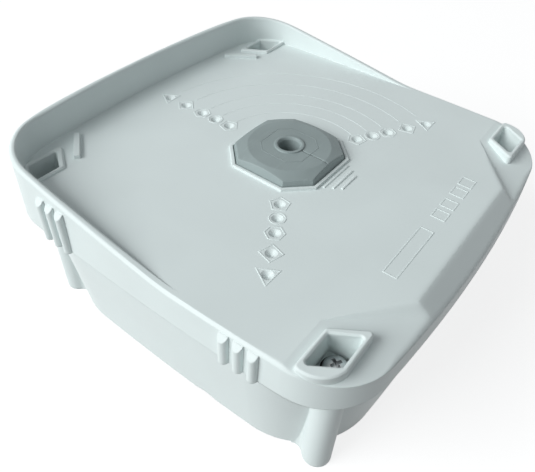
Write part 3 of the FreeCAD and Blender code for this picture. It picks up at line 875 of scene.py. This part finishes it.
class RaisePitchArcs(bpy.types.Operator):
    """Raise the arcs of the five pitch circles on the plate"""
    bl_idname = "junction_box.raise_pitch_arcs"
    bl_label = "Raise the Pitch Circle Arcs"

    def execute(self, context):
        relief = context.scene.junction_relief
        level = PLATE_LEVEL * MM
        half = relief.line_width / 2
        low, high = level - relief.line_root, level + relief.arc_height
        side = level + ARC_SHOULDER * relief.arc_height
        crown = ARC_CROWN * half
        section = ((-half, low), (half, low), (half, side), (crown, high), (-crown, high), (-half, side))
        turn = Matrix.Rotation(relief.arc_start, 4, "Z")
        bm = bmesh.new()
        for radius in ARC_RADII:
            verts = [bm.verts.new(turn @ Vector((radius * MM + out, 0, up))) for out, up in section]
            face = bm.faces.new(verts)
            bmesh.ops.spin(
                bm, geom=[face] + list(face.verts) + list(face.edges), cent=(0, 0, 0), axis=(0, 0, 1),
                angle=relief.arc_end - relief.arc_start, steps=ARC_STEPS, use_merge=False,
                use_duplicate=False,
            )
        bmesh.ops.holes_fill(bm, edges=[edge for edge in bm.edges if edge.is_boundary], sides=0)
        bmesh.ops.recalc_face_normals(bm, faces=bm.faces)
        new_piece("plate_pitch_arcs", bm, "lid_body", relief_plastic())
        return {"FINISHED"}


class RaiseDimpleOutlines(bpy.types.Operator):
    """Raise the outline that tells each pitch circle's dimple from the next"""
    bl_idname = "junction_box.raise_dimple_outlines"
    bl_label = "Raise the Dimple Outlines"

    def execute(self, context):
        relief = context.scene.junction_relief
        bm = bmesh.new()
        for arm in DIMPLE_ARMS:
            angle = math.radians(arm)
            for distance, radius, sides, turn in DIMPLE_OUTLINES:
                centre = (distance * MM * math.cos(angle), distance * MM * math.sin(angle))
                # A circle from create_circle starts on +Y, so its first corner is turned from there
                first = angle + math.radians(turn) - math.pi / 2
                raise_polygon(bm, centre, radius * MM, sides, first, relief)
        bmesh.ops.recalc_face_normals(bm, faces=bm.faces)
        new_piece("plate_dimple_outlines", bm, "lid_body", relief_plastic())
        return {"FINISHED"}


class RaisePlateFrames(bpy.types.Operator):
    """Raise the rectangular outlines and the three short bars below the grommet"""
    bl_idname = "junction_box.raise_plate_frames"
    bl_label = "Raise the Plate Frames"

    def execute(self, context):
        relief = context.scene.junction_relief
        bm = bmesh.new()
        for x, y, width, height in PLATE_FRAMES:
            panel = flat_panel(bm, in_metres((x, y)), in_metres((width, height)), relief)
            raise_rim(bm, panel, relief.line_height, relief)
        for half, y in PLATE_BARS:
            panel = flat_panel(bm, (0.0, y * MM), (2 * half * MM, relief.bar_width), relief)
            lift_band(bm, [panel], relief.bar_height, BAR_ROUNDING * relief.bar_width, relief)
        bmesh.ops.recalc_face_normals(bm, faces=bm.faces)
        new_piece("plate_frames", bm, "lid_body", relief_plastic())
        return {"FINISHED"}


def area_light(name, place, target, size, power, colour):
    data = bpy.data.lights.new(name, "AREA")
    data.shape = "RECTANGLE"
    data.size, data.size_y = size
    data.energy = power
    data.color = colour
    lamp = bpy.data.objects.new(name, data)
    lamp.location = place
    lamp.rotation_euler = (Vector(target) - Vector(place)).to_track_quat("-Z", "Y").to_euler()
    bpy.context.scene.collection.objects.link(lamp)


def seen_or_not(tree, unseen, seen, place):
    # One shader for rays that look at the background, directly or through a reflection or glass,
    # and another for the rays that carry its light
    rays = add_node(tree, "ShaderNodeLightPath", (place[0] - 580, place[1])).outputs
    looking = math_node(
        tree, "MAXIMUM", rays["Is Camera Ray"], rays["Is Glossy Ray"], (place[0] - 380, place[1]),
    )
    looking = math_node(
        tree, "MAXIMUM", looking, rays["Is Transmission Ray"], (place[0] - 200, place[1]),
    )
    choose = add_node(tree, "ShaderNodeMixShader", place)
    for socket, source in zip(choose.inputs, (looking, unseen, seen)):
        tree.links.new(source, socket)
    return choose.outputs[0]


class SetStage(bpy.types.Operator):
    """Lay the floor, light the room from the left and set the camera"""
    bl_idname = "junction_box.set_stage"
    bl_label = "Set the Stage"

    def execute(self, context):
        stage = context.scene.junction_stage
        self.lay_floor(context, stage)
        self.light_room(context, stage)
        self.set_camera(context, stage)
        return {"FINISHED"}

    def lay_floor(self, context, stage):
        bm = bmesh.new()
        drop = Matrix.Translation((0, 0, -FLOOR_DROP))
        bmesh.ops.create_grid(bm, x_segments=1, y_segments=1, size=FLOOR_REACH, matrix=drop)
        mesh = bpy.data.meshes.new("studio_floor")
        bm.to_mesh(mesh)
        bm.free()
        floor = bpy.data.objects.new("studio_floor", mesh)
        context.scene.collection.objects.link(floor)
        mesh.materials.append(self.floor_material(stage))

    def floor_material(self, stage):
        # The floor keeps its shadows, and its glow only whitens what the camera sees of it
        material, tree, shader = start_material("Studio Floor")
        shader.inputs["Base Color"].default_value = (*stage.floor_colour, 1.0)
        shader.inputs["Roughness"].default_value = 0.9
        shader.inputs["Specular IOR Level"].default_value = 0.1
        glow = add_node(tree, "ShaderNodeEmission", (180, -100), Strength=stage.floor_glow)
        black = add_node(tree, "ShaderNodeEmission", (180, -260), Strength=0.0)
        choose = seen_or_not(tree, black.outputs[0], glow.outputs[0], (400, -260))
        both = add_node(tree, "ShaderNodeAddShader", (600, -100))
        tree.links.new(shader.outputs[0], both.inputs[0])
        tree.links.new(choose, both.inputs[1])
        tree.links.new(both.outputs[0], tree.nodes["Material Output"].inputs["Surface"])
        return material

    def light_room(self, context, stage):
        world = bpy.data.worlds.new("Studio Room")
        context.scene.world = world
        world.use_nodes = True
        tree = world.node_tree
        room = tree.nodes["Background"]
        room.inputs["Color"].default_value = ROOM_COLOUR
        room.inputs["Strength"].default_value = stage.world_strength
        white = add_node(tree, "ShaderNodeBackground", (0, -400), Color=(1.0, 1.0, 1.0, 1.0), Strength=1.0)
        choose = seen_or_not(tree, room.outputs[0], white.outputs[0], (200, 100))
        tree.links.new(choose, tree.nodes["World Output"].inputs["Surface"])
        area_light("Window Left", KEY_PLACE, KEY_TARGET, KEY_SIZE, stage.key_power, KEY_COLOUR)

    def set_camera(self, context, stage):
        data = bpy.data.cameras.new("Photo Camera")
        data.lens = stage.lens
        data.sensor_width = SENSOR_WIDTH
        camera = bpy.data.objects.new("Photo Camera", data)
        turn = Matrix((CAMERA_RIGHT, CAMERA_UP, CAMERA_BACK)).transposed().to_4x4()
        camera.matrix_world = Matrix.Translation(CAMERA_PLACE) @ turn
        context.scene.collection.objects.link(camera)
        context.scene.camera = camera
        context.scene.view_settings.view_transform = "Standard"


# Sidebar panel and registration


OPERATORS = (
    DressHousing, DressGrommet, ScoreGrommet, DressSeals, MakeScrews,
    RaisePitchArcs, RaiseDimpleOutlines, RaisePlateFrames, SetStage,
)


class JunctionBoxPanel(bpy.types.Panel):
    """Lists the sizes, colours and steps of the junction box"""
    bl_idname = "VIEW3D_PT_junction_box"
    bl_label = "Junction Box"
    bl_space_type = "VIEW_3D"
    bl_region_type = "UI"
    bl_category = "Junction Box"

    def draw(self, context):
        layout = self.layout
        for name in SETTINGS:
            settings = getattr(context.scene, name)
            box = layout.box()
            for key in settings.__annotations__:
                box.prop(settings, key)
        for operator in OPERATORS:
            layout.operator(operator.bl_idname)


SETTINGS = {
    "junction_housing": HousingSettings,
    "junction_relief": ReliefSettings,
    "junction_screws": ScrewSettings,
    "junction_stage": StageSettings,
}
CLASSES = tuple(SETTINGS.values()) + OPERATORS + (JunctionBoxPanel,)


def register():
    for cls in CLASSES:
        bpy.utils.register_class(cls)
    for name, cls in SETTINGS.items():
        setattr(bpy.types.Scene, name, PointerProperty(type=cls))


def unregister():
    for name in SETTINGS:
        delattr(bpy.types.Scene, name)
    for cls in reversed(CLASSES):
        bpy.utils.unregister_class(cls)


def main():
    register()
    bpy.ops.junction_box.dress_housing()
    bpy.ops.junction_box.dress_grommet()
    bpy.ops.junction_box.score_grommet()
    bpy.ops.junction_box.dress_seals()
    bpy.ops.junction_box.make_screws()
    bpy.ops.junction_box.raise_pitch_arcs()
    bpy.ops.junction_box.raise_dimple_outlines()
    bpy.ops.junction_box.raise_plate_frames()
    bpy.ops.junction_box.set_stage()


if __name__ == "__main__":
    main()
